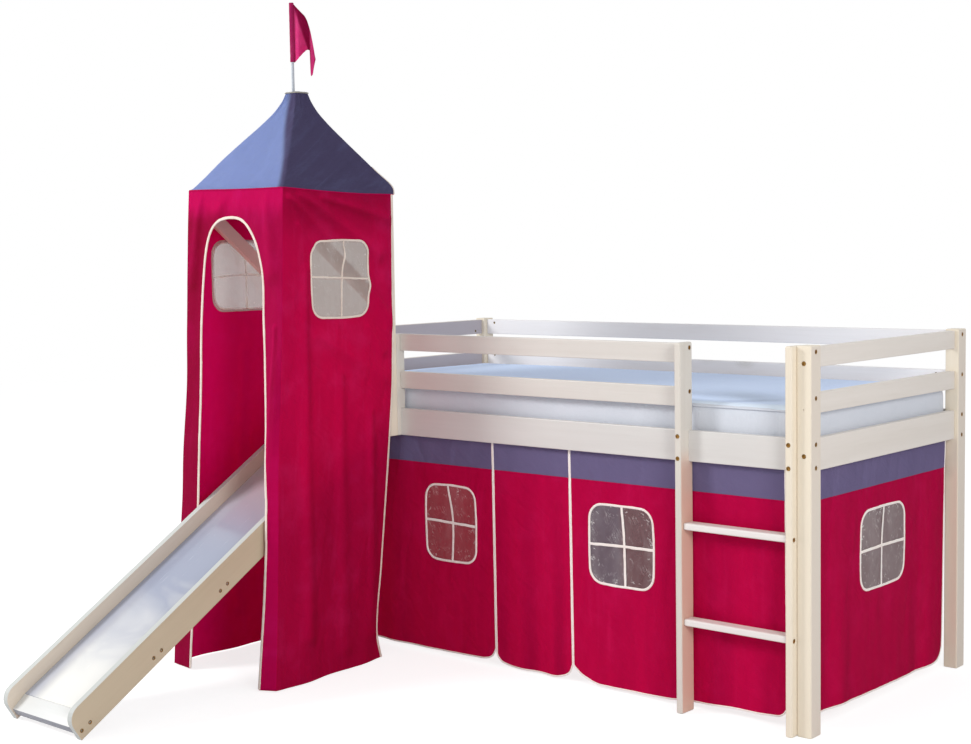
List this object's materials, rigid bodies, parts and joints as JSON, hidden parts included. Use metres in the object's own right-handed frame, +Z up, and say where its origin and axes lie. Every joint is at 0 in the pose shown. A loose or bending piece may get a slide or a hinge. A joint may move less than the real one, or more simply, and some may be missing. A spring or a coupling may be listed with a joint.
{
  "type": "bunk bed",
  "caption": "Mid-height child bed with guard rails, ladder, slatted base and mattress, a cloth tower over a slide, and play curtains with clear windows below.",
  "frame": {"origin": "middle of the front right post's foot, on the floor", "axes": "+Z up; +X toward the right end, past the front right post; +Y from the front of the bed to its rear, so the slide runs down toward -Y"},
  "size_m": [2.1133, 2.3319, 2.232],
  "materials": {
    "painted_pine": "satin cream-white paint over knotty pine",
    "bare_pine": "bare planed pine",
    "pole_paint": "white painted dowel",
    "slide_deck": "glossy white laminate",
    "hook_steel": "zinc plated strip steel",
    "mattress_cover": "light blue top and pale sides, woven cover",
    "curtain_cloth": "crimson cotton with a violet band and cream piping",
    "tower_cloth": "crimson cotton with cream piping",
    "roof_cloth": "violet cotton",
    "flag_cloth": "crimson cotton",
    "clear_window": "clear soft vinyl with cream tape across"
  },
  "bodies": {
    "bed": {"end_guard_left_mid": "painted_pine", "end_guard_left_top": "painted_pine", "end_guard_right_mid": "painted_pine", "end_guard_right_top": "painted_pine", "end_rail_left": "painted_pine", "end_rail_right": "painted_pine", "flag_pole": "pole_paint", "guard_front_mid": "painted_pine", "guard_front_top": "painted_pine", "guard_rear_mid": "painted_pine", "guard_rear_top": "painted_pine", "ladder_rung_lower": "painted_pine", "ladder_rung_upper": "painted_pine", "ladder_stile_left": "painted_pine", "ladder_stile_right": "painted_pine", "ledger_front": "bare_pine", "ledger_rear": "bare_pine", "post_front_left": "painted_pine", "post_front_right": "painted_pine", "post_rear_left": "painted_pine", "post_rear_right": "painted_pine", "rail_end_stile": "painted_pine", "side_rail_front": "painted_pine", "side_rail_rear": "painted_pine", "slatted_base": "bare_pine", "tower_arm_left": "painted_pine", "tower_arm_right": "painted_pine", "tower_back_bar": "painted_pine", "tower_brace_left": "painted_pine", "tower_brace_right": "painted_pine", "tower_cross_bar": "painted_pine", "tower_front_bar": "painted_pine", "tower_king_cap": "painted_pine", "tower_king_post": "painted_pine", "tower_roof": "roof_cloth", "tower_upright_left": "painted_pine", "tower_upright_right": "painted_pine", "tower_walls": "tower_cloth", "window_tower_left": "clear_window", "window_tower_right": "clear_window"},
    "mattress": {"mattress": "mattress_cover"},
    "slide": {"slide_batten_1": "painted_pine", "slide_batten_2": "painted_pine", "slide_batten_3": "painted_pine", "slide_batten_4": "painted_pine", "slide_board_left": "painted_pine", "slide_board_right": "painted_pine", "slide_deck": "slide_deck", "slide_foot_board": "painted_pine", "slide_hook_left": "hook_steel", "slide_hook_right": "hook_steel"},
    "curtain_front_left": {"curtain_front_left": "curtain_cloth", "window_curtain_front_left": "clear_window"},
    "curtain_door": {"curtain_door": "curtain_cloth"},
    "curtain_front_right": {"curtain_front_right": "curtain_cloth", "window_curtain_front_right": "clear_window"},
    "curtain_end": {"curtain_end": "curtain_cloth", "window_curtain_end": "clear_window"},
    "flag": {"flag": "flag_cloth"}
  },
  "joints": [
    {"name": "mattress_lift", "type": "slide", "parent": "bed", "child": "mattress", "axis": [0, 0, 1], "range_m": [0, 0.3]},
    {"name": "slide_lift", "type": "slide", "parent": "bed", "child": "slide", "axis": [0, 0, 1], "range_m": [0, 0.04]},
    {"name": "curtain_front_left_swing", "type": "hinge", "parent": "bed", "child": "curtain_front_left", "pos_m": [-1.6, 0.0138, 0.7747], "axis": [1, 0, 0], "range_deg": [0, 60]},
    {"name": "curtain_door_swing", "type": "hinge", "parent": "bed", "child": "curtain_door", "pos_m": [-1, 0.0138, 0.7747], "axis": [1, 0, 0], "range_deg": [0, 75]},
    {"name": "curtain_front_right_swing", "type": "hinge", "parent": "bed", "child": "curtain_front_right", "pos_m": [-0.5, 0.0138, 0.7747], "axis": [1, 0, 0], "range_deg": [0, 60]},
    {"name": "curtain_end_swing", "type": "hinge", "parent": "bed", "child": "curtain_end", "pos_m": [-0.0113, 0.48, 0.756], "axis": [0, -1, 0], "range_deg": [0, 60]},
    {"name": "flag_turn", "type": "hinge", "parent": "bed", "child": "flag", "pos_m": [-1.812, -0.268, 2.13], "axis": [0, 0, 1], "continuous": true}
  ]
}
